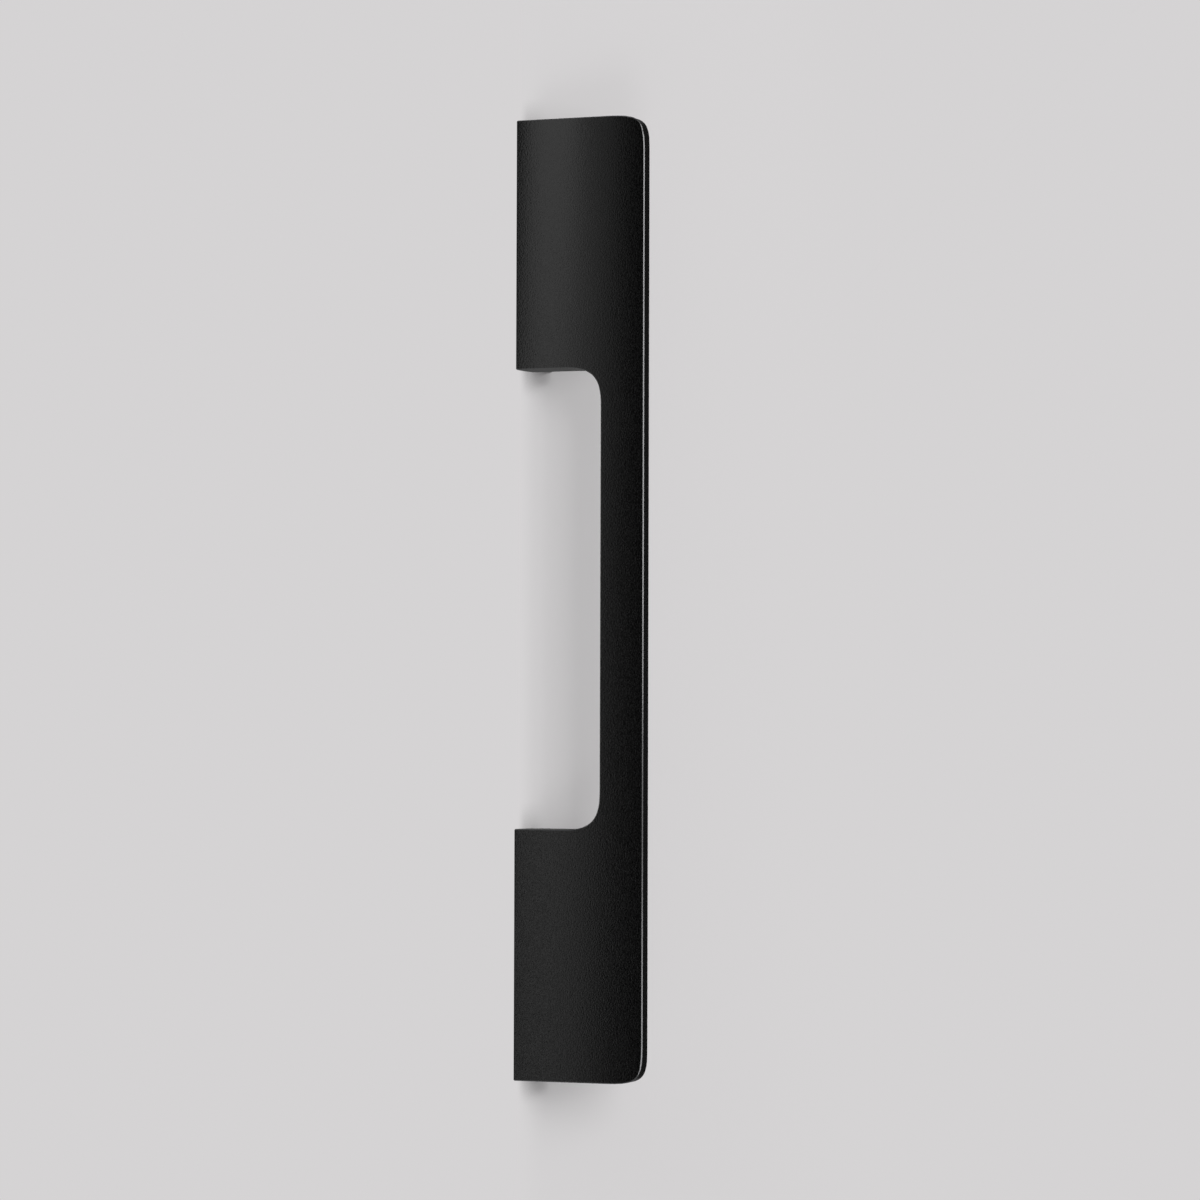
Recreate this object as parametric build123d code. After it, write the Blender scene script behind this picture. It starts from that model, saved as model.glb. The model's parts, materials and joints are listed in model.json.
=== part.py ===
"""Door pull handle, made from one length of aluminium profile.

The profile has a foot that sits on the door, a deep root over the foot and a
plate that leans away from the door to a free lip. A window is cut in from the
root's side, which leaves a leg at each end and a flat grip bar between them.
Each leg has one blind tapped hole in its foot, for a screw through the door.

Frame: +Z runs up the handle, +X points from the foot to the lip and -Y points
away from the door. The origin is on the door's face, halfway between the two
screw holes. The section is drawn in X and "out", the distance from the door.
"""
import os
from math import atan, atan2, cos, degrees, hypot, radians, sin, tan

from build123d import *

# Length of the handle and of each leg, in millimetres
HANDLE_LENGTH = 340.0
LEG_LENGTH = 88.7

# Section of the profile, in millimetres and degrees
FACE_TILT = 20.8
FOOT_WIDTH = 7.2
FOOT_STEP = 2.3
FOOT_STEP_RADIUS = 1.4
ROOT_THICKNESS = 12.0
ROOT_REACH = 16.0
ROOT_CORNER_RADIUS = 1.2
NOSE_REACH = 9.12
NOSE_RADIUS = 0.6
FLANK_BULGE = 0.45
PLATE_THICKNESS = 5.6
LIP_REACH = 36.3
SCOOP_RADIUS = 6.0
LIP_BACK_RADIUS = 0.5

# Cuts in the plate, square to its face, in millimetres
GRIP_WIDTH = 16.3
WINDOW_CORNER_RUN = 13.0
WINDOW_CORNER_PULL = 0.73
LIP_CORNER_RUN = 14.0
LIP_CORNER_PULL = 0.9
EDGE_BREAK = 0.32

# Tapped holes for the two fixing screws, in millimetres and degrees.
# The radius is that of the thread's roots, and the cover is the metal left in front of the drill's point.
HOLE_INSET = 10.0
HOLE_RADIUS = 2.0
HOLE_COVER = 3.07
HOLE_LEAD_IN = 0.4
DRILL_POINT_ANGLE = 118.0

# How far a cutting solid runs past what it cuts, in millimetres
CUT_MARGIN = 20.0


def rounding(radius, wall, turn):
    """Gives a corner's radius, held to what a wall beside the corner has room for.

    Args:
        radius: the radius asked for.
        wall: the length of the shorter wall that meets the corner.
        turn: how far the outline turns at the corner, in degrees.

    Returns:
        The radius, or the largest that takes up nine tenths of the wall.
    """
    return min(radius, 0.9 * wall / tan(radians(turn) / 2))


def face_out(x):
    """Gives how far the flat front face stands off the door at a place across it."""
    tilt = radians(FACE_TILT)
    return FOOT_STEP + ROOT_THICKNESS / cos(tilt) + (x - FOOT_WIDTH / 2) * tan(tilt)


def profile_section():
    """Draws the section of the profile in X and Y, with Y pointing into the door.

    Returns:
        The section as one face, with every corner rounded.
    """
    tilt = radians(FACE_TILT)
    foot_side = FOOT_WIDTH / 2

    # The flank bulges a little on its way from the foot out to the nose
    nose = (-NOSE_REACH, face_out(-NOSE_REACH))
    flank = hypot(NOSE_REACH - foot_side, nose[1])
    flank_lean = degrees(atan2(NOSE_REACH - foot_side, nose[1]))
    flank_turn = degrees(2 * atan(2 * FLANK_BULGE / flank))
    belly = (
        -(NOSE_REACH + foot_side) / 2 - FLANK_BULGE * nose[1] / flank,
        nose[1] / 2 - FLANK_BULGE * (NOSE_REACH - foot_side) / flank,
    )
    lip_front = (LIP_REACH, face_out(LIP_REACH))
    lip_back = (
        lip_front[0] + PLATE_THICKNESS * sin(tilt),
        lip_front[1] - PLATE_THICKNESS * cos(tilt),
    )
    scoop = (ROOT_REACH, face_out(ROOT_REACH) - PLATE_THICKNESS / cos(tilt))
    root_corner = (ROOT_REACH, face_out(ROOT_REACH) - ROOT_THICKNESS / cos(tilt))
    step_corner = (foot_side, FOOT_STEP)

    # Each corner has its place and its radius, which the walls beside it may limit
    root_side = scoop[1] - root_corner[1]
    root_back = (ROOT_REACH - foot_side) / cos(tilt)
    corners = [
        (-foot_side, 0, 0),
        (*nose, rounding(NOSE_RADIUS, flank, 90 + flank_lean - flank_turn - FACE_TILT)),
        (*lip_front, 0),
        (*lip_back, rounding(LIP_BACK_RADIUS, 0.5 * PLATE_THICKNESS, 90)),
        (*scoop, rounding(SCOOP_RADIUS, 0.7 * root_side, 90 - FACE_TILT)),
        (*root_corner, rounding(ROOT_CORNER_RADIUS, 0.3 * root_side, 90 + FACE_TILT)),
        (*step_corner, rounding(FOOT_STEP_RADIUS, min(FOOT_STEP, 0.5 * root_back), 90 - FACE_TILT)),
        (foot_side, 0, 0),
    ]

    with BuildSketch(Plane.XY) as section:
        with BuildLine():
            Polyline(*[(x, -out) for x, out, radius in corners[1:]], (-foot_side, 0))
            ThreePointArc((-foot_side, 0), (belly[0], -belly[1]), (nose[0], -nose[1]))
        make_face()
        for x, out, radius in corners:
            if radius:
                fillet(section.vertices().sort_by_distance((x, -out))[0], radius)
    return section.sketch.face()


def plate_plane():
    """Gives the plane of the front face, with its origin on the lip's front edge at mid height.

    Its x axis runs along the slope towards the lip, and its y axis is the handle's +Z.
    """
    tilt = radians(FACE_TILT)
    return Plane(
        origin=(LIP_REACH, -face_out(LIP_REACH), 0),
        x_dir=(cos(tilt), -sin(tilt), 0),
        z_dir=(-sin(tilt), -cos(tilt), 0),
    )


def cut_through(face):
    """Extends a drawing on the front face both ways, well past the whole section."""
    return extrude(face, LIP_REACH + CUT_MARGIN, both=True)


def soft_corner(tip, along, down, run, pull):
    """Draws a soft corner, a curve with no sudden change of bend, inside a BuildLine.

    Args:
        tip: where the two sides would meet.
        along: the direction from the tip along the first side.
        down: the direction from the tip along the second side.
        run: how far from the tip the curve leaves each side.
        pull: how near to the tip it is drawn, as a share of the run.
    """
    tip, along, down = Vector(tip), Vector(along), Vector(down)
    near = run * (1 - pull)
    Bezier(tip + along * run, tip + along * near, tip + down * near, tip + down * run)


def window_cut():
    """Makes the cutter for the window, open on the root's side, with soft inner corners."""
    far = -GRIP_WIDTH - LIP_REACH - FOOT_WIDTH - ROOT_THICKNESS - CUT_MARGIN
    side = HANDLE_LENGTH / 2 - LEG_LENGTH
    run = min(WINDOW_CORNER_RUN, 0.98 * side)
    inner = -GRIP_WIDTH
    with BuildSketch(plate_plane()) as drawing:
        with BuildLine():
            soft_corner((inner, side), (-1, 0), (0, -1), run, WINDOW_CORNER_PULL)
            Line((inner, side - run), (inner, run - side))
            soft_corner((inner, -side), (0, 1), (-1, 0), run, WINDOW_CORNER_PULL)
            Polyline((inner - run, -side), (far, -side), (far, side), (inner - run, side))
        make_face()
    return cut_through(drawing.sketch.face())


def lip_corner_cut():
    """Makes the cutter for the lip's upper corner."""
    end = HANDLE_LENGTH / 2
    run = LIP_CORNER_RUN
    with BuildSketch(plate_plane()) as drawing:
        with BuildLine():
            soft_corner((0, end), (-1, 0), (0, -1), run, LIP_CORNER_PULL)
            Polyline(
                (0, end - run),
                (CUT_MARGIN, end - run),
                (CUT_MARGIN, end + CUT_MARGIN),
                (-run, end + CUT_MARGIN),
                (-run, end),
            )
        make_face()
    return cut_through(drawing.sketch.face())


def tapped_hole(height):
    """Makes the solid that a drill and a countersink take out of one foot.

    Args:
        height: the height of the hole's axis on the handle.

    Returns:
        The hole's solid, with its mouth on the door's face and its point inwards.
    """
    point = HOLE_RADIUS / tan(radians(DRILL_POINT_ANGLE / 2))
    depth = face_out(0) - HOLE_COVER
    mouth = HOLE_RADIUS + HOLE_LEAD_IN
    with BuildSketch(Plane.XY) as half:
        with BuildLine():
            Polyline(
                (0, CUT_MARGIN),
                (mouth, CUT_MARGIN),
                (mouth, 0),
                (HOLE_RADIUS, -HOLE_LEAD_IN),
                (HOLE_RADIUS, point - depth),
                (0, -depth),
                close=True,
            )
        make_face()
    return Pos(0, 0, height) * revolve(half.sketch.face(), Axis.Y)


def front_outline(body):
    """Finds the sharp edges round the front face: the lip, the soft corners, the ends and the window.

    Args:
        body: the handle with its window and corners cut.

    Returns:
        The edges of its largest face, apart from those where the face runs on into the nose.
    """
    front_face = body.faces().sort_by(SortBy.AREA)[-1]
    across = front_face.edges().group_by(Axis.X)
    return [edge for group in across[1:] for edge in group]


def pull_handle():
    """Builds the whole handle: the profile, the window, the soft corners, the edges and the holes."""
    body = extrude(profile_section(), HANDLE_LENGTH / 2, both=True)
    upper_corner = lip_corner_cut()
    body -= window_cut()
    body -= upper_corner
    body -= mirror(upper_corner, Plane.XY)
    body = chamfer(front_outline(body), EDGE_BREAK)
    for end in (-1, 1):
        body -= tapped_hole(end * (HANDLE_LENGTH / 2 - HOLE_INSET))
    return body


handle = pull_handle()
os.makedirs("parts", exist_ok=True)
export_step(handle, "parts/pull_handle.step")
print("lip stands off the door by", round(face_out(LIP_REACH), 2), "mm")
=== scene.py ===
"""Looks of the door pull handle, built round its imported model.

The handle is one length of aluminium profile, brushed along its length and
anodised matt black. The scene dresses it, cuts the threads in its two screw
holes, and lights it on a pale door.

Sizes are in metres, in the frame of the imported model: +Z runs up the handle,
+X points from the foot to the free lip and -Y points away from the door,
whose face is the plane where Y is zero. Angles are in degrees.
"""
from __future__ import annotations

import json
import logging
import math
from dataclasses import dataclass
from enum import Enum
from typing import Sequence, Union

import bpy
from mathutils import Matrix, Quaternion, Vector


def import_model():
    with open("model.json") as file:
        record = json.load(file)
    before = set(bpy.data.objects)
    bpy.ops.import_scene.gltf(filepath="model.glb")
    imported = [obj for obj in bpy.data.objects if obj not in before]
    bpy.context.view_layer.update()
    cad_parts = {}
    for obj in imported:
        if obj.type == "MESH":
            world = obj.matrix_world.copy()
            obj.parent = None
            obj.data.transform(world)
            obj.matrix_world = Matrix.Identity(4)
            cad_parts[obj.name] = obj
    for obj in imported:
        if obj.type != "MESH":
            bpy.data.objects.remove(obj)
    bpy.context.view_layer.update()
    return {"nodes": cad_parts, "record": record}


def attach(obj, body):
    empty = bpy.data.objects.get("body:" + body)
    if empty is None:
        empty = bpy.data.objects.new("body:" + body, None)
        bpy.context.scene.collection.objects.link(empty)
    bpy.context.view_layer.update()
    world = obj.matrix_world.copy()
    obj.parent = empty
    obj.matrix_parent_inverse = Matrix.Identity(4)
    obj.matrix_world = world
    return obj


LOG = logging.getLogger("pull_handle")

MM = 0.001
HANDLE_NODE = "pull_handle"

# The colour of the door, and of what the camera sees past its edges
PALE_GREY = (0.665, 0.652, 0.658)
WHITE = (1.0, 1.0, 1.0)

Span = tuple[float, float]
Triple = tuple[float, float, float]
Feed = Union[bpy.types.NodeSocket, float, Sequence[float]]


class Reading(Enum):
    """What a node reads at a point of a surface, or in the world round it."""

    PLACE = "Object"
    NORMAL = "Normal"
    WAY = "Generated"


class Mixed(Enum):
    """What a mix is made of."""

    NUMBERS = "FLOAT"
    COLOURS = "RGBA"


@dataclass(frozen=True)
class Nodes:
    """The node tree of a material or of the world, with short calls for what comes up often."""

    tree: bpy.types.NodeTree

    @classmethod
    def emptied(cls, owner: Union[bpy.types.Material, bpy.types.World]) -> Nodes:
        """Turns on the owner's node tree and empties it.

        Args:
            owner: the material or world that the nodes belong to.

        Returns:
            The empty tree.
        """
        owner.use_nodes = True
        owner.node_tree.nodes.clear()
        return cls(owner.node_tree)

    def add(
        self, kind: str, inputs: dict[Union[str, int], Feed], **settings: Union[str, int, bool]
    ) -> bpy.types.Node:
        """Adds one node, sets it and fills its inputs.

        Args:
            kind: the node's type, without the words that every type begins with.
            inputs: what goes into each input, a value or another node's output.
            settings: the node's own settings, by name.

        Returns:
            The new node.
        """
        made = self.tree.nodes.new("ShaderNode" + kind)
        for name, value in settings.items():
            setattr(made, name, value)
        for name, value in inputs.items():
            if isinstance(value, bpy.types.NodeSocket):
                self.tree.links.new(value, made.inputs[name])
            else:
                made.inputs[name].default_value = value
        return made

    def read(self, reading: Reading) -> bpy.types.NodeSocket:
        """Gives the output that reads a place, a normal or a way to look."""
        return self.add("TexCoord", {}).outputs[reading.value]

    def part(self, vector: Feed, axis: str) -> bpy.types.NodeSocket:
        """Gives the X, Y or Z of a vector."""
        return self.add("SeparateXYZ", {"Vector": vector}).outputs[axis]

    def towards(self, vector: Feed, way: Sequence[float]) -> bpy.types.NodeSocket:
        """Gives the cosine of the turn from one direction to another."""
        return self.add("VectorMath", {0: vector, 1: way}, operation="DOT_PRODUCT").outputs["Value"]

    def sum(self, operation: str, *values: Feed, clamp: bool = False) -> bpy.types.NodeSocket:
        """Works out one sum.

        Args:
            operation: the sum's name, such as SUBTRACT.
            values: the numbers, in the sum's order.
            clamp: whether the result is held between 0 and 1.

        Returns:
            The socket that gives the result.
        """
        made = self.add("Math", dict(enumerate(values)), operation=operation, use_clamp=clamp)
        return made.outputs["Value"]

    def span(
        self, value: Feed, span: Span, results: Span = (0.0, 1.0), soft: bool = False
    ) -> bpy.types.NodeSocket:
        """Turns a span of values into a span of results, held level past both ends.

        Args:
            value: the value to turn.
            span: the values at the span's two ends.
            results: the results there.
            soft: whether the results ease in and out at the ends.

        Returns:
            The socket that gives the result.
        """
        inputs = {
            "Value": value,
            "From Min": span[0],
            "From Max": span[1],
            "To Min": results[0],
            "To Max": results[1],
        }
        curve = "SMOOTHSTEP" if soft else "LINEAR"
        return self.add("MapRange", inputs, interpolation_type=curve).outputs["Result"]

    def mix(
        self, share: Feed, first: Feed, second: Feed, mixed: Mixed = Mixed.NUMBERS
    ) -> bpy.types.NodeSocket:
        """Mixes two numbers or two colours.

        Args:
            share: how much of the second is in the mix.
            first: the first number or colour.
            second: the second one.
            mixed: which of the two kinds they are.

        Returns:
            The socket that gives the mix.
        """
        made = self.add("Mix", {"Factor": share, "A": first, "B": second}, data_type=mixed.value)
        return made.outputs["Result"]

    def cover(
        self, share: Feed, under: bpy.types.NodeSocket, over: bpy.types.NodeSocket
    ) -> bpy.types.NodeSocket:
        """Covers one surface with another, by the share that the second takes."""
        return self.add("MixShader", {"Fac": share, 1: under, 2: over}).outputs["Shader"]


class Grain(Enum):
    """Which way the marks of a finish run."""

    ALONG = "along the handle"
    TURNED = "round a hole"


@dataclass(frozen=True)
class Marks:
    """One set of marks in the metal.

    Attributes:
        per_metre: how many marks lie side by side in a metre.
        length: how many times longer a mark is than it is wide.
        height: how high they stand.
        finer: how many finer sets are added.
        finer_share: how strong a finer set is beside the one before it.
    """

    per_metre: float
    length: float
    height: float
    finer: float
    finer_share: float = 0.62


@dataclass(frozen=True)
class BrushedAnodised:
    """Black anodised aluminium, with brushed lines under the finer grain of the matt skin.

    Attributes:
        name: the material's name.
        grain: which way the marks run.
        facing: the direction that the handle's front face looks in.
        lines: the brushed lines.
        grains: the grain of the skin.
        grain_share: the grain's share in the tone and the gloss, beside the lines.
        dark: the colour where the marks are low.
        light: the colour where they are high.
        tone_span: the marks' heights, from 0 to 1, where it is all dark and all light.
        smooth: the roughness where the marks are low.
        rough: the roughness where they are high.
        gloss_span: the marks' heights where it is all smooth and all rough.
        cut_rough: the roughness of the ends that were cut square.
        cut_span: the normal's share along the handle where an end begins and is full.
        edge_turn: how far the broken edges turn from the front face.
        edge_span: how far from that turn's cosine a face is none of an edge, and all of one.
        edge_tone: the colour of their bare metal.
        edge_rough: its roughness.
        edge_calm: how much of the grain's height it loses.
        anisotropy: how much the gloss is drawn out across the handle.
        specular: the strength of the gloss.
    """

    name: str
    grain: Grain
    facing: Triple
    lines: Marks = Marks(per_metre=1700.0, length=22.0, height=0.000004, finer=3.0)
    grains: Marks = Marks(per_metre=2200.0, length=1.3, height=0.000036, finer=0.0)
    grain_share: float = 0.8
    dark: Triple = (0.0004, 0.0004, 0.0004)
    light: Triple = (0.0045, 0.0045, 0.0046)
    tone_span: Span = (0.36, 0.66)
    smooth: float = 0.200
    rough: float = 0.285
    gloss_span: Span = (0.35, 0.65)
    cut_rough: float = 0.40
    cut_span: Span = (0.90, 0.98)
    edge_turn: float = 45.0
    edge_span: Span = (0.22, 0.12)
    edge_tone: Triple = (0.200, 0.200, 0.204)
    edge_rough: float = 0.17
    edge_calm: float = 0.8
    anisotropy: float = 0.30
    specular: float = 0.50

    def material(self) -> bpy.types.Material:
        """Builds the finish as a node material.

        Returns:
            The new material.
        """
        made = bpy.data.materials.new(self.name)
        nodes = Nodes.emptied(made)
        lines = self.marks(nodes, self.lines)
        grains = self.marks(nodes, self.grains)
        both = nodes.mix(self.grain_share, lines, grains)
        broken = self.broken_edges(nodes)
        shader = nodes.add(
            "BsdfPrincipled",
            {
                "Base Color": self.tone(nodes, both, broken),
                "Metallic": broken,
                "Roughness": self.roughness(nodes, both, broken),
                "Specular IOR Level": self.specular,
                "Anisotropic": self.anisotropy,
                "Tangent": nodes.add("CombineXYZ", {"X": 1.0}).outputs["Vector"],
                "Normal": self.relief(nodes, lines, grains, broken),
            },
        )
        nodes.add("OutputMaterial", {"Surface": shader.outputs["BSDF"]})
        return made

    def marks(self, nodes: Nodes, marks: Marks) -> bpy.types.NodeSocket:
        """Adds one set of marks, drawn out along the grain.

        Args:
            nodes: the material's nodes.
            marks: the marks' sizes.

        Returns:
            The socket that gives the marks' height, from 0 to 1.
        """
        along = marks.per_metre / marks.length
        if self.grain is Grain.ALONG:
            scale = (marks.per_metre, marks.per_metre, along)
        else:
            scale = (along, marks.per_metre, along)
        drawn_out = nodes.add("Mapping", {"Vector": nodes.read(Reading.PLACE), "Scale": scale})
        noise = nodes.add(
            "TexNoise",
            {
                "Vector": drawn_out.outputs["Vector"],
                "Scale": 1.0,
                "Detail": marks.finer,
                "Roughness": marks.finer_share,
            },
        )
        return noise.outputs["Fac"]

    def broken_edges(self, nodes: Nodes) -> bpy.types.NodeSocket:
        """Finds the narrow sloping edges round the front face, which were milled after the brushing.

        Args:
            nodes: the material's nodes.

        Returns:
            The socket that gives 1 on those edges and 0 elsewhere.
        """
        turn = nodes.towards(nodes.read(Reading.NORMAL), self.facing)
        off = nodes.sum("SUBTRACT", turn, math.cos(math.radians(self.edge_turn)))
        return nodes.span(nodes.sum("ABSOLUTE", off), self.edge_span)

    def cut_ends(self, nodes: Nodes) -> bpy.types.NodeSocket:
        """Finds the flat ends that were cut square to the handle's length.

        Args:
            nodes: the material's nodes.

        Returns:
            The socket that gives 1 on those ends and 0 elsewhere.
        """
        upward = nodes.part(nodes.read(Reading.NORMAL), "Z")
        return nodes.span(nodes.sum("ABSOLUTE", upward), self.cut_span)

    def tone(self, nodes: Nodes, both: Feed, broken: Feed) -> bpy.types.NodeSocket:
        """Colours the skin by its marks, and bares the metal on the broken edges.

        Args:
            nodes: the material's nodes.
            both: the height of the two sets of marks together.
            broken: how much of a broken edge this is.

        Returns:
            The socket that gives the colour.
        """
        ramp = nodes.add("ValToRGB", {"Fac": both})
        for stop, height, colour in zip(ramp.color_ramp.elements, self.tone_span, (self.dark, self.light)):
            stop.position = height
            stop.color = (*colour, 1.0)
        return nodes.mix(broken, ramp.outputs["Color"], (*self.edge_tone, 1.0), Mixed.COLOURS)

    def roughness(self, nodes: Nodes, both: Feed, broken: Feed) -> bpy.types.NodeSocket:
        """Sets the roughness of the skin by its marks, of the cut ends and of the broken edges.

        Args:
            nodes: the material's nodes.
            both: the height of the two sets of marks together.
            broken: how much of a broken edge this is.

        Returns:
            The socket that gives the roughness.
        """
        skin = nodes.span(both, self.gloss_span, (self.smooth, self.rough))
        sawn = nodes.mix(self.cut_ends(nodes), skin, self.cut_rough)
        return nodes.mix(broken, sawn, self.edge_rough)

    def relief(self, nodes: Nodes, lines: Feed, grains: Feed, broken: Feed) -> bpy.types.NodeSocket:
        """Raises the lines and then the grain, which is calmer on the broken edges.

        Args:
            nodes: the material's nodes.
            lines: the height of the brushed lines.
            grains: the height of the grain.
            broken: how much of a broken edge this is.

        Returns:
            The socket that gives the normal.
        """
        scored = nodes.add("Bump", {"Distance": self.lines.height, "Height": lines})
        matted = nodes.add(
            "Bump",
            {
                "Strength": nodes.sum("MULTIPLY_ADD", broken, -self.edge_calm, 1.0),
                "Distance": self.grains.height,
                "Height": grains,
                "Normal": scored.outputs["Normal"],
            },
        )
        return matted.outputs["Normal"]


@dataclass(frozen=True)
class DoorFinish:
    """Plain pale paint on the door, seen only from the front so that the handle's back shows too.

    Round the handle most of its tone comes from the lamps; further out, and left of
    the foot, an even painted glow covers the handle's shadow, and nearer in it lightens it.

    Attributes:
        name: the material's name.
        seen: the even tone.
        albedo: how much of the lamps' red light the paint throws back.
        painted_glow_share: the painted glow's share where the lamps' share is full, which lightens the
            handle's shadow there.
        contact_reach: how far the painted close shade reaches from the foot.
        contact_samples: how many rays look for the foot at each point of the painted shade.
        contact_left: where, going right, the painted close shade begins and is full.
        shaded_left: where, going right, the lamps' share begins and is full; left of it the painted glow
            covers the shadow.
        shaded_right: where, going left, it begins and is full.
        shaded_height: how high or low, coming nearer, it begins and is full.
    """

    name: str = "door_paint"
    seen: Triple = PALE_GREY
    albedo: float = 0.70
    painted_glow_share: float = 0.20
    contact_reach: float = 0.010
    contact_samples: int = 4
    contact_left: Span = (-0.0085, -0.0050)
    shaded_left: Span = (-0.008, 0.003)
    shaded_right: Span = (0.120, 0.060)
    shaded_height: Span = (0.280, 0.215)

    def material(self) -> bpy.types.Material:
        """Builds the paint, opaque to the camera from the front and clear otherwise.

        Returns:
            The new material.
        """
        made = bpy.data.materials.new(self.name)
        nodes = Nodes.emptied(made)
        tint = [self.albedo * (channel / self.seen[0]) for channel in self.seen]
        paint = nodes.add("BsdfDiffuse", {"Color": (*tint, 1.0)})
        # The glow is painted light, even except for the painted close shade; it stands in for lit paint
        # where the handle's shadow is covered.
        glow = nodes.add("Emission", {"Color": (*self.seen, 1.0), "Strength": self.painted_contact_shade(nodes)})
        surface = nodes.cover(self.lamps_share(nodes), glow.outputs["Emission"], paint.outputs["BSDF"])

        camera_ray = nodes.add("LightPath", {}).outputs["Is Camera Ray"]
        from_behind = nodes.add("NewGeometry", {}).outputs["Backfacing"]
        opaque = nodes.sum("SUBTRACT", camera_ray, from_behind, clamp=True)
        clear = nodes.add("BsdfTransparent", {}).outputs["BSDF"]
        nodes.add("OutputMaterial", {"Surface": nodes.cover(opaque, clear, surface)})
        return made

    def painted_contact_shade(self, nodes: Nodes) -> bpy.types.NodeSocket:
        """Finds the close shade in the corner between the door and the foot that stands on it.

        Args:
            nodes: the material's nodes.

        Returns:
            The socket that gives 1 in the open and less towards the foot: a painted shade on the glow.
        """
        # Painted shade: the door's glow is darkened by ambient occlusion near the foot.
        near = nodes.add("AmbientOcclusion", {"Distance": self.contact_reach}, samples=self.contact_samples)
        across = nodes.part(nodes.read(Reading.PLACE), "X")
        return nodes.mix(nodes.span(across, self.contact_left, soft=True), 1.0, near.outputs["AO"])

    def lamps_share(self, nodes: Nodes) -> bpy.types.NodeSocket:
        """Finds where the handle's shadow may fall, so that the tone has to come from the lamps.

        Args:
            nodes: the material's nodes.

        Returns:
            The socket that gives the lamps' share of the tone, from 0 to 1; the rest is painted glow, which
            covers the handle's shadow where the share is 0.
        """
        place = nodes.read(Reading.PLACE)
        across = nodes.part(place, "X")
        height = nodes.sum("ABSOLUTE", nodes.part(place, "Z"))
        share = 1.0 - self.painted_glow_share
        for distance, fade in (
            (across, self.shaded_left),
            (across, self.shaded_right),
            (height, self.shaded_height),
        ):
            share = nodes.sum("MULTIPLY", share, nodes.span(distance, fade, soft=True))
        return share


@dataclass
class Handle:
    """The handle itself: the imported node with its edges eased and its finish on.

    Attributes:
        node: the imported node.
        finish: what it is finished in.
        weld_reach: how near two corners of the mesh are when they are one.
        edge_ease: how far the sharp edges are eased back.
        ease_steps: how many faces the ease has.
        crease: the turn from which an edge is sharp.
    """

    node: bpy.types.Object
    finish: BrushedAnodised
    weld_reach: float = 0.000002
    edge_ease: float = 0.00012
    ease_steps: int = 2
    crease: float = 28.0

    def dress(self) -> bpy.types.Object:
        """Gives the node its finish, smooth shading and eased edges.

        Returns:
            The dressed node.
        """
        self.node.data.materials.clear()
        self.node.data.materials.append(self.finish.material())
        for face in self.node.data.polygons:
            face.use_smooth = True
        weld = self.node.modifiers.new("join_edges", "WELD")
        weld.merge_threshold = self.weld_reach
        ease = self.node.modifiers.new("ease_edges", "BEVEL")
        ease.width = self.edge_ease
        ease.segments = self.ease_steps
        ease.limit_method = "ANGLE"
        ease.angle_limit = math.radians(self.crease)
        ease.harden_normals = False
        even = self.node.modifiers.new("even_normals", "WEIGHTED_NORMAL")
        even.keep_sharp = True
        LOG.info("dressed %s, %d faces", self.node.name, len(self.node.data.polygons))
        return self.node


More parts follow.
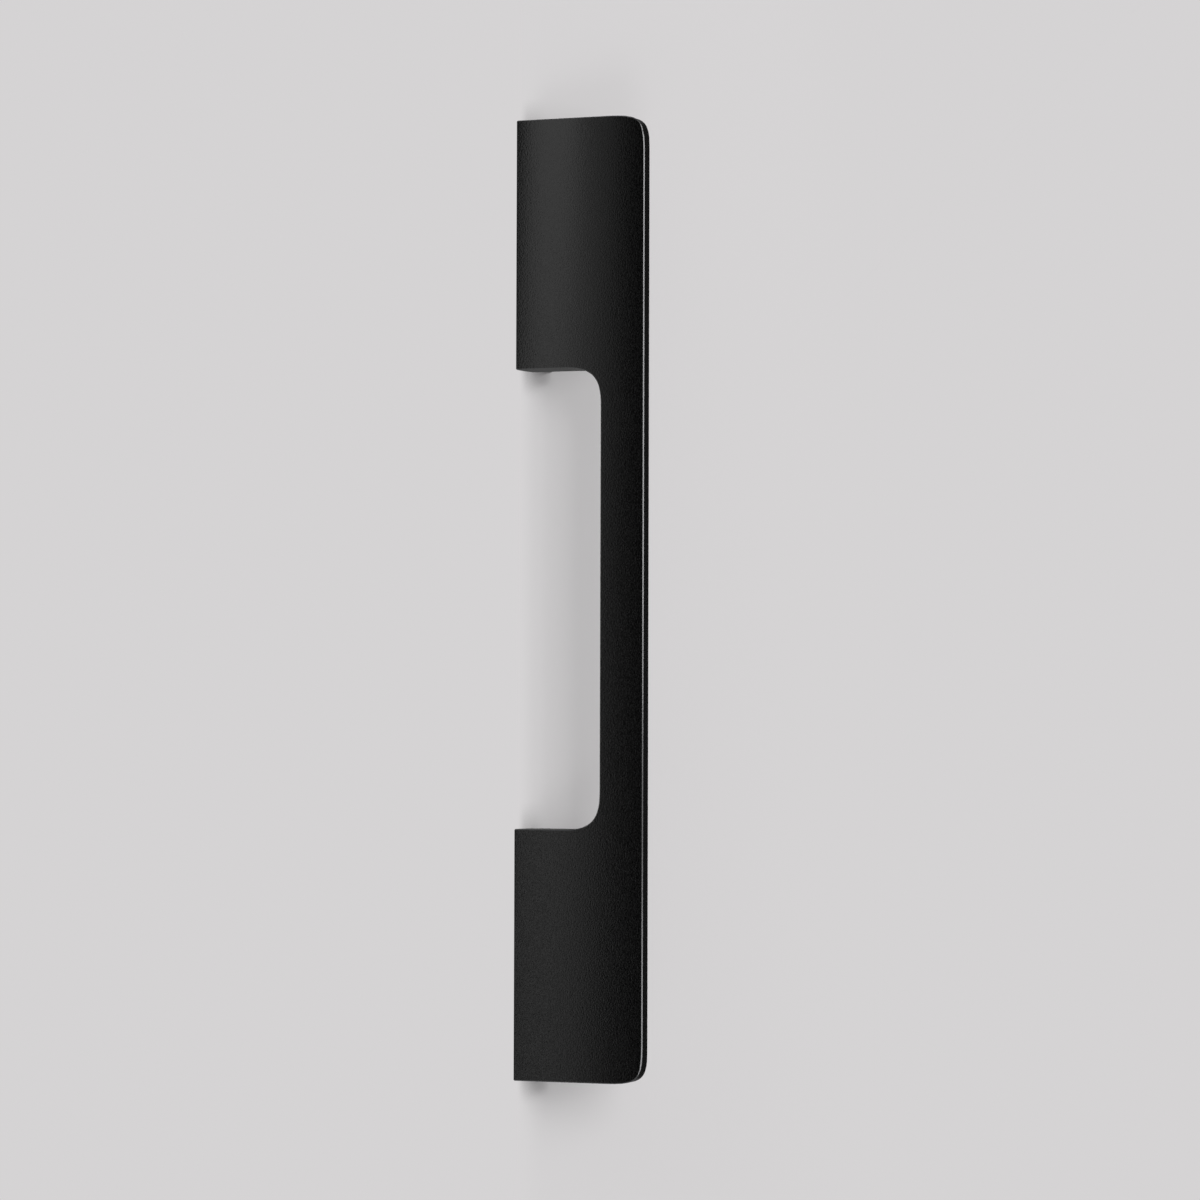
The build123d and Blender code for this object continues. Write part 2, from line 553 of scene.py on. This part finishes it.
@dataclass
class ScrewThread:
    """One cut thread in a screw hole: a ridge that winds down the hole's wall.

    Attributes:
        name: the piece's name.
        mouth: the middle of the hole's mouth.
        root_radius: the radius of the hole's wall, where the thread's roots are.
        finish: what it is finished in.
        pitch: how far the ridge climbs in a turn.
        depth_share: how much of a sharp thread's full height the cut thread has.
        base_share: half the ridge's width at the wall, as a share of the pitch.
        crest_share: the whole width of its crest, as a share of the pitch.
        first_depth: how deep in the hole the ridge begins.
        last_depth: how deep it ends.
        steps_per_turn: how many straight steps make a turn.
        sunk: how far the ridge goes into the wall.
        end_share: the ridge's height at its very ends, as a share of its full height.
    """

    name: str
    mouth: Vector
    root_radius: float
    finish: BrushedAnodised
    pitch: float = 0.0007
    depth_share: float = 5.0 / 8.0
    base_share: float = 0.44
    crest_share: float = 0.25
    first_depth: float = 0.0004
    last_depth: float = 0.0088
    steps_per_turn: int = 40
    sunk: float = 0.00002
    end_share: float = 0.02

    def crest_radius(self) -> float:
        """Gives the radius of the ridge's crest, for a metric thread of this pitch."""
        sharp_height = self.pitch * math.sqrt(3.0) / 2.0
        return self.root_radius - sharp_height * self.depth_share

    def section(self, share: float) -> list[tuple[float, float]]:
        """Gives the ridge's section as radii and offsets along the hole.

        Args:
            share: how much of the full height the ridge has here, from 0 to 1.

        Returns:
            Four corners, from the wall over the crest and back to the wall.
        """
        base = self.pitch * self.base_share
        crest = self.pitch * self.crest_share / 2.0
        wall = self.root_radius + self.sunk
        top = self.root_radius - (self.root_radius - self.crest_radius()) * share
        reach = base + (crest - base) * share
        return [(wall, -base), (top, -reach), (top, reach), (wall, base)]

    def corners(self, step: int, steps: int) -> list[Vector]:
        """Places the section at one step of the winding.

        Args:
            step: the step's number.
            steps: the number of the last step.

        Returns:
            The section's four corners in the handle's frame.
        """
        half_turn = self.steps_per_turn // 2
        angle = 2.0 * math.pi * step / self.steps_per_turn
        depth = self.first_depth + self.pitch * step / self.steps_per_turn
        share = min(1.0, self.end_share + min(step, steps - step) / half_turn)
        return [
            self.mouth + Vector((radius * math.cos(angle), -(depth + offset), radius * math.sin(angle)))
            for radius, offset in self.section(share)
        ]

    def build(self) -> bpy.types.Object:
        """Winds the ridge into a closed mesh.

        Returns:
            The new object, with its finish on.
        """
        turns = (self.last_depth - self.first_depth) / self.pitch
        steps = round(turns * self.steps_per_turn)
        points = [corner for step in range(steps + 1) for corner in self.corners(step, steps)]
        ring = len(self.section(1.0))
        faces = [tuple(reversed(range(ring)))]
        for step in range(steps):
            here = ring * step
            there = here + ring
            for side in range(ring):
                after = (side + 1) % ring
                faces.append((here + side, here + after, there + after, there + side))
        faces.append(tuple(range(ring * steps, ring * (steps + 1))))
        mesh = bpy.data.meshes.new(self.name)
        mesh.from_pydata(points, [], faces)
        mesh.update()
        mesh.materials.append(self.finish.material())
        made = bpy.data.objects.new(self.name, mesh)
        bpy.context.scene.collection.objects.link(made)
        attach(made, "root")
        LOG.info("cut %s, %.1f turns", self.name, turns)
        return made


class Falls(Enum):
    """What a lamp's light falls on."""

    DOOR = "the door, where it makes the handle's shadow"
    HANDLE = "the handle"


@dataclass(frozen=True)
class Lamp:
    """One rectangular lamp.

    Attributes:
        name: the lamp's name.
        falls: what its light falls on.
        bearing: how far round to the right it stands from straight ahead of the door.
        lift: how far it stands above the level.
        distance: how far it stands from its aim.
        size: its width and height.
        power: its power in watts.
        roll: how far it is turned about the line to its aim.
        aim_across: how far to the right of the handle's middle its aim is.
    """

    name: str
    falls: Falls
    bearing: float
    lift: float
    distance: float
    size: Span
    power: float
    roll: float = 0.0
    aim_across: float = 0.0

    def away(self) -> Vector:
        """Finds the direction from the aim to the lamp.

        Returns:
            The direction, of length one.
        """
        bearing = math.radians(self.bearing)
        lift = math.radians(self.lift)
        return Vector(
            (math.sin(bearing) * math.cos(lift), -math.cos(bearing) * math.cos(lift), math.sin(lift))
        )


@dataclass(frozen=True)
class DarkPatch:
    """A round patch of the surroundings that is kept dark, with a soft rim.

    Attributes:
        way: the direction of its middle.
        inner: how far from the middle the rim begins.
        outer: how far from the middle it ends.
        left: the share of the light that is left in the middle.
    """

    way: Triple
    inner: float
    outer: float
    left: float


@dataclass
class Studio:
    """The pale door behind the handle, the lamps and the world.

    Attributes:
        door: what the door is finished in.
        lamps: the lamps.
        patches: the dark patches of the surroundings.
        middle: the handle's middle, which the lamps are placed round.
        door_size: the door's width and height.
        door_gap: how far its face is behind the handle's feet.
        world_light: the strength of the even surroundings.
        world_seen: the colour that the camera sees of them.
    """

    door: DoorFinish
    lamps: tuple[Lamp, ...]
    patches: tuple[DarkPatch, ...]
    middle: Triple = (0.0002, -0.016, 0.0)
    door_size: float = 8.0
    door_gap: float = 0.0001
    world_light: float = 0.30
    world_seen: Triple = PALE_GREY

    def hang_door(self) -> bpy.types.Object:
        """Stands a plain sheet just behind the handle's feet.

        Returns:
            The door's object.
        """
        half = self.door_size / 2.0
        corners = [(-half, -half), (half, -half), (half, half), (-half, half)]
        mesh = bpy.data.meshes.new("door_face")
        mesh.from_pydata([(x, self.door_gap, z) for x, z in corners], [], [(0, 1, 2, 3)])
        mesh.materials.append(self.door.material())
        made = bpy.data.objects.new("door_face", mesh)
        bpy.context.scene.collection.objects.link(made)
        LOG.info("hung %s", made.name)
        return made

    def add_lamp(self, lamp: Lamp, lit_thing: bpy.types.Object) -> bpy.types.Object:
        """Adds one rectangular lamp.

        Args:
            lamp: its place, size and power.
            lit_thing: the one object that it lights.

        Returns:
            The lamp's object.
        """
        data = bpy.data.lights.new(lamp.name, "AREA")
        data.shape = "RECTANGLE"
        data.size, data.size_y = lamp.size
        data.energy = lamp.power
        made = bpy.data.objects.new(lamp.name, data)
        away = lamp.away()
        made.location = Vector(self.middle) + Vector((lamp.aim_across, 0.0, 0.0)) + away * lamp.distance
        made.rotation_mode = "QUATERNION"
        facing = (-away).to_track_quat("-Z", "Y")
        made.rotation_quaternion = facing @ Quaternion((0.0, 0.0, 1.0), math.radians(lamp.roll))
        made.visible_camera = False
        bpy.context.scene.collection.objects.link(made)
        lit = bpy.data.collections.new(lamp.name + "_lights")
        lit.objects.link(lit_thing)
        made.light_linking.receiver_collection = lit
        LOG.info("lit %s", lamp.name)
        return made

    def light(self, lit_things: dict[Falls, bpy.types.Object]) -> None:
        """Sets the world and the lamps.

        Args:
            lit_things: the object that each kind of lamp falls on.
        """
        world = bpy.data.worlds.new("studio")
        bpy.context.scene.world = world
        nodes = Nodes.emptied(world)
        lit = nodes.add("Background", {"Color": (*WHITE, 1.0), "Strength": self.surroundings(nodes)})
        seen = nodes.add("Background", {"Color": (*self.world_seen, 1.0)})
        camera_ray = nodes.add("LightPath", {}).outputs["Is Camera Ray"]
        light = nodes.cover(camera_ray, lit.outputs["Background"], seen.outputs["Background"])
        nodes.add("OutputWorld", {"Surface": light})
        for lamp in self.lamps:
            self.add_lamp(lamp, lit_things[lamp.falls])

    def surroundings(self, nodes: Nodes) -> bpy.types.NodeSocket:
        """Sets how bright the surroundings are each way round: even, but for the dark patches.

        Args:
            nodes: the world's nodes.

        Returns:
            The socket that gives the strength.
        """
        way = nodes.read(Reading.WAY)
        strength = self.world_light
        for patch in self.patches:
            turn = nodes.towards(way, Vector(patch.way).normalized())
            rim = (math.cos(math.radians(patch.outer)), math.cos(math.radians(patch.inner)))
            strength = nodes.sum("MULTIPLY", strength, nodes.span(turn, rim, (1.0, patch.left), soft=True))
        return strength


@dataclass(frozen=True)
class Viewpoint:
    """The camera, where the photograph was taken from.

    Attributes:
        place: where it stands.
        pitch: how far it looks up.
        turn_left: how far it looks to the left of straight at the door.
        lean: how far it leans about its line of sight.
        lens: its focal length in millimetres.
        sensor: the width of its picture in millimetres.
        clip: the nearest and farthest that it sees.
    """

    place: Triple = (0.02956, -1.4959, -0.04594)
    pitch: float = 1.7606
    turn_left: float = 0.3278
    lean: float = 0.165
    lens: float = 126.0
    sensor: float = 36.0
    clip: Span = (0.05, 50.0)

    def set_up(self) -> bpy.types.Object:
        """Makes the camera and gives it to the scene.

        Returns:
            The camera's object.
        """
        camera = bpy.data.cameras.new("camera")
        camera.sensor_width = self.sensor
        camera.lens = self.lens
        camera.clip_start, camera.clip_end = self.clip
        made = bpy.data.objects.new("camera", camera)
        turn = Matrix.Rotation(math.radians(self.turn_left), 3, "Z")
        tip = Matrix.Rotation(math.radians(90.0) + math.radians(self.pitch), 3, "X")
        lean = Matrix.Rotation(math.radians(self.lean), 3, "Z")
        made.rotation_mode = "QUATERNION"
        made.rotation_quaternion = (turn @ tip @ lean).to_quaternion()
        made.location = self.place
        bpy.context.scene.collection.objects.link(made)
        bpy.context.scene.camera = made
        return made


def studio_lamps() -> tuple[Lamp, ...]:
    """Sets out the lamps.

    Three stand well back and make the handle's shadow on the door. Two strips
    close to the left give the front face its soft band of light. Three strips
    to the right light the broken edge along the lip, one all the way and one
    more for each end.

    Returns:
        The lamps.
    """
    return (
        Lamp("key", Falls.DOOR, bearing=43.0, lift=25.0, distance=8.0, size=(5.8, 4.3), power=361.0),
        Lamp("side", Falls.DOOR, bearing=65.0, lift=15.0, distance=8.0, size=(1.4, 1.4), power=567.0),
        Lamp("low", Falls.DOOR, bearing=10.0, lift=-40.0, distance=8.0, size=(2.8, 2.8), power=51.0),
        Lamp(
            "left_strip", Falls.HANDLE, bearing=-41.6, lift=16.9, distance=0.08,
            size=(0.0200, 0.60), power=0.0422, roll=-1.6, aim_across=-0.0035,
        ),
        Lamp(
            "left_fill", Falls.HANDLE, bearing=-41.6, lift=9.2, distance=0.08,
            size=(0.0125, 0.60), power=0.0110, roll=-1.5, aim_across=0.0200,
        ),
        Lamp(
            "edge_strip", Falls.HANDLE, bearing=48.0, lift=10.0, distance=1.0,
            size=(0.10, 2.40), power=0.22,
        ),
        Lamp(
            "edge_top", Falls.HANDLE, bearing=48.0, lift=23.5, distance=1.09,
            size=(0.10, 1.00), power=0.85,
        ),
        Lamp(
            "edge_foot", Falls.HANDLE, bearing=48.0, lift=-28.0, distance=1.13,
            size=(0.10, 0.83), power=0.54,
        ),
    )


def dark_patches() -> tuple[DarkPatch, ...]:
    """Sets out the dark patches: one where the front face looks to the left, one behind the lip.

    Returns:
        The patches.
    """
    return (
        DarkPatch(way=(-0.664, -0.748, 0.0), inner=36.0, outer=58.0, left=0.03),
        DarkPatch(way=(0.52, 0.83, 0.0), inner=20.0, outer=42.0, left=0.10),
    )


def front_normal(node: bpy.types.Object) -> Triple:
    """Finds which way the handle's flat front face points.

    Args:
        node: the handle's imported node.

    Returns:
        The direction square to the largest face that looks away from the door.
    """
    front = max((face for face in node.data.polygons if face.normal.y < 0.0), key=lambda face: face.area)
    return tuple(front.normal)


def hole_mouths(record: dict) -> tuple[list[Vector], float]:
    """Finds where the two screw holes open, and their radius, from the record.

    Args:
        record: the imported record.

    Returns:
        The centre of each hole's mouth, and the radius of its wall.
    """
    holes = next(mount for mount in record["mounts"] if mount["name"] == "screw_holes")
    middle = Vector(holes["pos_m"])
    reach = holes["dims"]["spacing_y_mm"] * MM / 2.0
    mouths = [middle + Vector((0.0, 0.0, side * reach)) for side in (-1, 1)]
    return mouths, holes["dims"]["hole_r_mm"] * MM


def main() -> None:
    """Builds and lights the whole scene."""
    logging.basicConfig(level=logging.INFO, format="%(name)s: %(message)s")
    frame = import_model()

    bpy.context.scene.view_settings.view_transform = "Standard"
    Viewpoint().set_up()
    node = frame["nodes"][HANDLE_NODE]
    facing = front_normal(node)
    handle = Handle(node, BrushedAnodised("brushed_black", Grain.ALONG, facing)).dress()
    mouths, radius = hole_mouths(frame["record"])
    for name, mouth in zip(("lower_thread", "upper_thread"), mouths):
        ScrewThread(name, mouth, radius, BrushedAnodised(name + "_black", Grain.TURNED, facing)).build()
    studio = Studio(DoorFinish(), studio_lamps(), dark_patches())
    door = studio.hang_door()
    studio.light({Falls.DOOR: door, Falls.HANDLE: handle})


if __name__ == "__main__":
    main()
